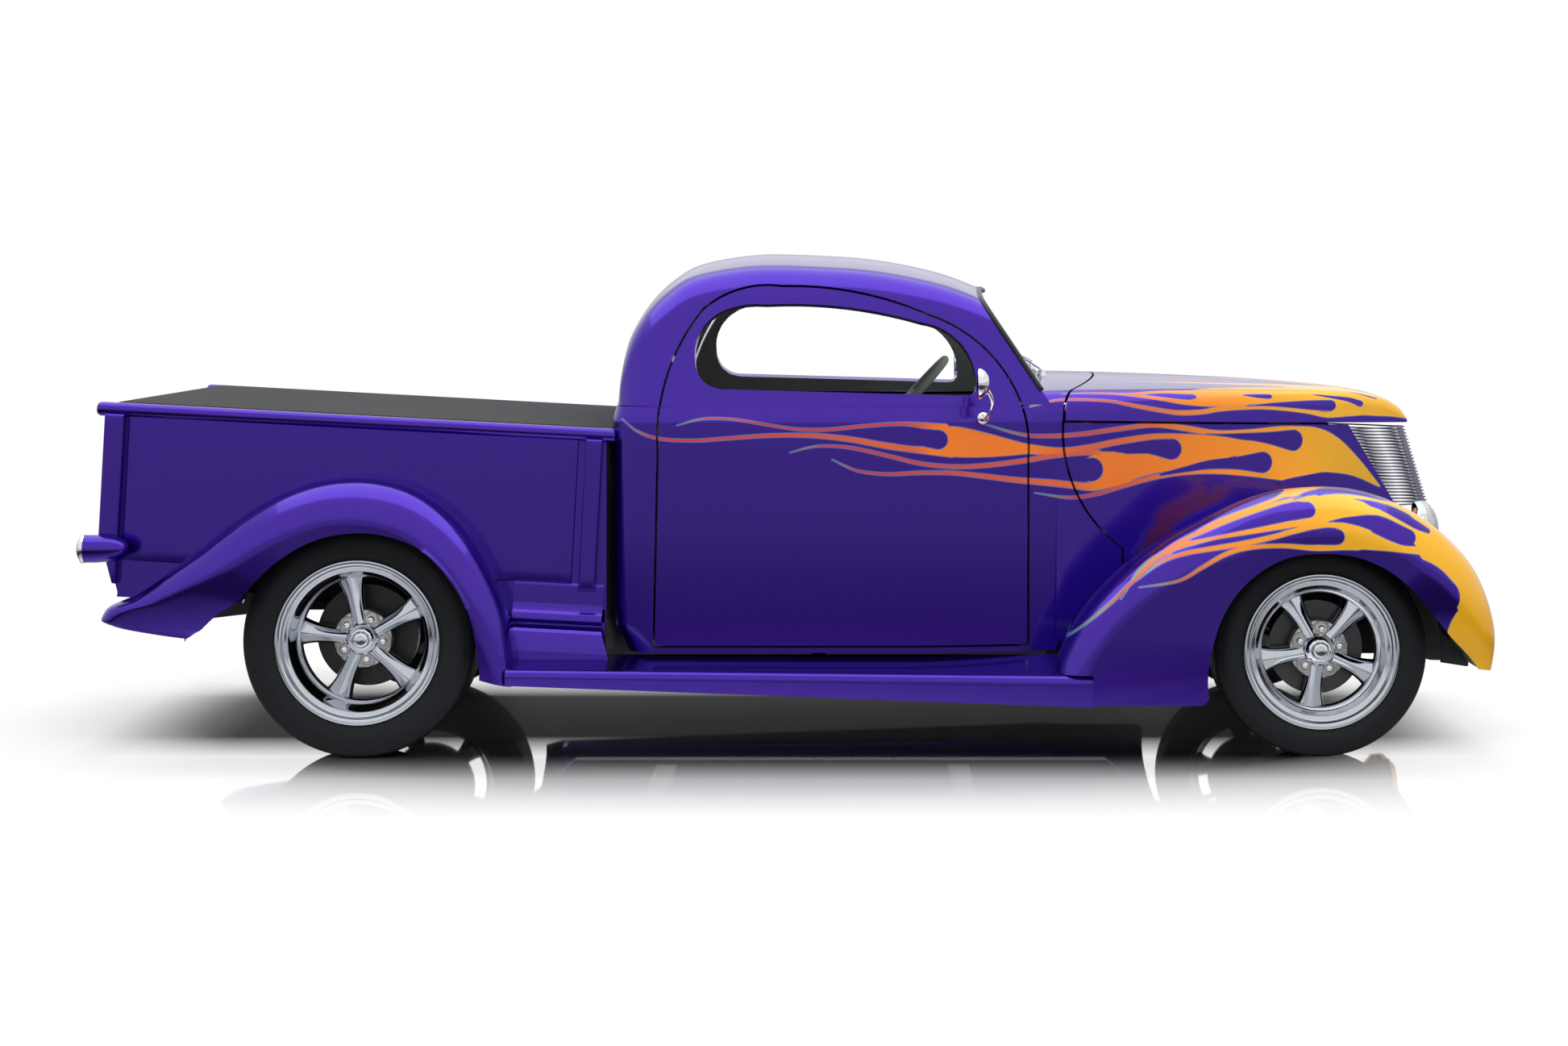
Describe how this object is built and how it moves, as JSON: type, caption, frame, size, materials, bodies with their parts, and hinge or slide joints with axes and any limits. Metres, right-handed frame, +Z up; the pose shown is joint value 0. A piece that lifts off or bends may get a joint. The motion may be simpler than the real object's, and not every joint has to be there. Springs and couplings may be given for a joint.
{
  "type": "pickup truck",
  "caption": "Custom vintage pickup truck with separate fenders, chopped rounded cab, opening doors, hood and tailgate, steered front wheels and a covered bed.",
  "frame": {"origin": "on the ground under the centre of the truck's bounding box", "axes": "+X forward, +Y to the vehicle's left, +Z up"},
  "size_m": [4.188, 1.777, 1.496],
  "materials": {
    "body_paint": "gloss candy blue-violet",
    "chassis_black": "satin black",
    "engine_iron": "satin",
    "chrome": "polished",
    "tyre": "matte",
    "brake_steel": "machined",
    "floor_mat": "matte",
    "bed_boards": "varnished",
    "tinted_glass": "clear tinted",
    "lens_glass": "clear",
    "red_lens": "gloss translucent",
    "seat_leather": "soft",
    "steering_grey": "satin",
    "cover_cloth": "matte woven"
  },
  "bodies": {
    "chassis": {"frame_rails": "chassis_black", "crossmembers": "chassis_black", "engine_block": "engine_iron", "radiator": "chassis_black", "front_axle": "chassis_black", "rear_axle": "chassis_black", "front_springs": "chassis_black", "rear_springs": "chassis_black", "cab_lower": "body_paint", "cab_roof": "body_paint", "cab_floor": "floor_mat", "cowl_top": "body_paint", "windshield": "tinted_glass", "rear_window": "tinted_glass", "seat": "seat_leather", "dashboard": "body_paint", "steering_column": "steering_grey", "hood_sides": "body_paint", "grille": "chrome", "front_pan": "chassis_black", "front_fenders": "body_paint", "headlight_buckets": "chrome", "headlight_lenses": "lens_glass", "running_boards": "body_paint", "rear_fenders": "body_paint", "bed_sides": "body_paint", "bed_valances": "body_paint", "bed_front_panel": "body_paint", "bed_floor": "bed_boards", "roll_pan": "body_paint", "tonneau_cover": "cover_cloth", "tail_light_housings": "chrome", "tail_light_lenses": "red_lens"},
    "door_right": {"door_right": "body_paint", "mirror_right": "chrome"},
    "door_left": {"door_left": "body_paint", "mirror_left": "chrome"},
    "hood": {"hood": "body_paint"},
    "tailgate": {"tailgate": "body_paint"},
    "steering_wheel": {"steering_wheel": "steering_grey"},
    "knuckle_right": {"knuckle_right": "chassis_black"},
    "knuckle_left": {"knuckle_left": "chassis_black"},
    "wheel_front_right": {"tyre_front_right": "tyre", "rim_front_right": "chrome", "brake_disc_right": "brake_steel"},
    "wheel_front_left": {"tyre_front_left": "tyre", "rim_front_left": "chrome", "brake_disc_left": "brake_steel"},
    "wheel_rear_right": {"tyre_rear_right": "tyre", "rim_rear_right": "chrome"},
    "wheel_rear_left": {"tyre_rear_left": "tyre", "rim_rear_left": "chrome"}
  },
  "joints": [
    {"name": "door_right_hinge", "type": "hinge", "parent": "chassis", "child": "door_right", "pos_m": [0.753, -0.66953, 0.6], "axis": [0, 0, 1], "range_deg": [0, 60]},
    {"name": "door_left_hinge", "type": "hinge", "parent": "chassis", "child": "door_left", "pos_m": [0.753, 0.66953, 0.6], "axis": [0, 0, -1], "range_deg": [0, 60]},
    {"name": "hood_hinge", "type": "hinge", "parent": "chassis", "child": "hood", "pos_m": [0.812, 0, 1.051], "axis": [0, -1, 0], "range_deg": [0, 50]},
    {"name": "tailgate_hinge", "type": "hinge", "parent": "chassis", "child": "tailgate", "pos_m": [-2.02387, 0, 0.67613], "axis": [0, -1, 0], "range_deg": [0, 90]},
    {"name": "steer_right", "type": "hinge", "parent": "chassis", "child": "knuckle_right", "pos_m": [1.586, -0.6, 0.315], "axis": [0, 0, 1], "range_deg": [-25, 25]},
    {"name": "steer_left", "type": "hinge", "parent": "chassis", "child": "knuckle_left", "pos_m": [1.586, 0.6, 0.315], "axis": [0, 0, 1], "range_deg": [-25, 25]},
    {"name": "steering_wheel_turn", "type": "hinge", "parent": "chassis", "child": "steering_wheel", "pos_m": [0.394, 0.33, 1.012], "axis": [-0.7431, 0, 0.6691], "range_deg": [-400, 400]},
    {"name": "spin_front_right", "type": "hinge", "parent": "knuckle_right", "child": "wheel_front_right", "pos_m": [1.586, -0.69, 0.315], "axis": [0, 1, 0], "continuous": true},
    {"name": "spin_front_left", "type": "hinge", "parent": "knuckle_left", "child": "wheel_front_left", "pos_m": [1.586, 0.69, 0.315], "axis": [0, 1, 0], "continuous": true},
    {"name": "spin_rear_right", "type": "hinge", "parent": "chassis", "child": "wheel_rear_right", "pos_m": [-1.259, -0.674, 0.343], "axis": [0, 1, 0], "continuous": true},
    {"name": "spin_rear_left", "type": "hinge", "parent": "chassis", "child": "wheel_rear_left", "pos_m": [-1.259, 0.674, 0.343], "axis": [0, 1, 0], "continuous": true}
  ],
  "couplings": [
    {"joint": "steer_left", "follows": "steer_right", "ratio": 1},
    {"joint": "steering_wheel_turn", "follows": "steer_right", "ratio": 16}
  ]
}
